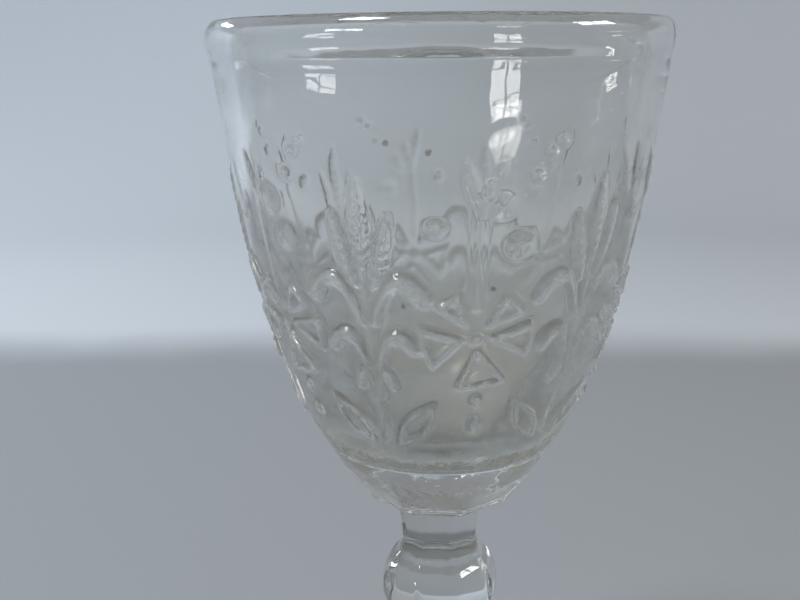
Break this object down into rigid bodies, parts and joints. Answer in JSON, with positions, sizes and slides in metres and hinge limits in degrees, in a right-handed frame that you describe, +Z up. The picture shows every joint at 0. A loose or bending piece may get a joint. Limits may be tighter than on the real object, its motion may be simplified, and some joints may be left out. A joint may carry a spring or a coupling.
{
  "type": "liqueur glass",
  "caption": "Small pressed-glass stemmed liqueur glass: tapering bowl moulded with flowers, ferns and beads, on a faceted base, neck and knop with a round foot.",
  "frame": {"origin": "centre of the foot's resting plane", "axes": "+Z up along the axis of the glass; -Y towards the camera's side; +X to the right seen from there"},
  "size_m": [0.05, 0.05, 0.098],
  "materials": {
    "bowl_glass": "clear pressed glass with moulded relief, fire-polished lip",
    "base_glass": "clear pressed glass, panelled",
    "stem_glass": "clear pressed glass, panelled",
    "foot_glass": "clear pressed glass, smooth"
  },
  "bodies": {
    "root": {"bowl": "bowl_glass", "bowl_base": "base_glass", "stem_neck": "stem_glass", "stem_knop": "stem_glass", "stem_shaft": "stem_glass", "foot": "foot_glass"}
  },
  "joints": []
}
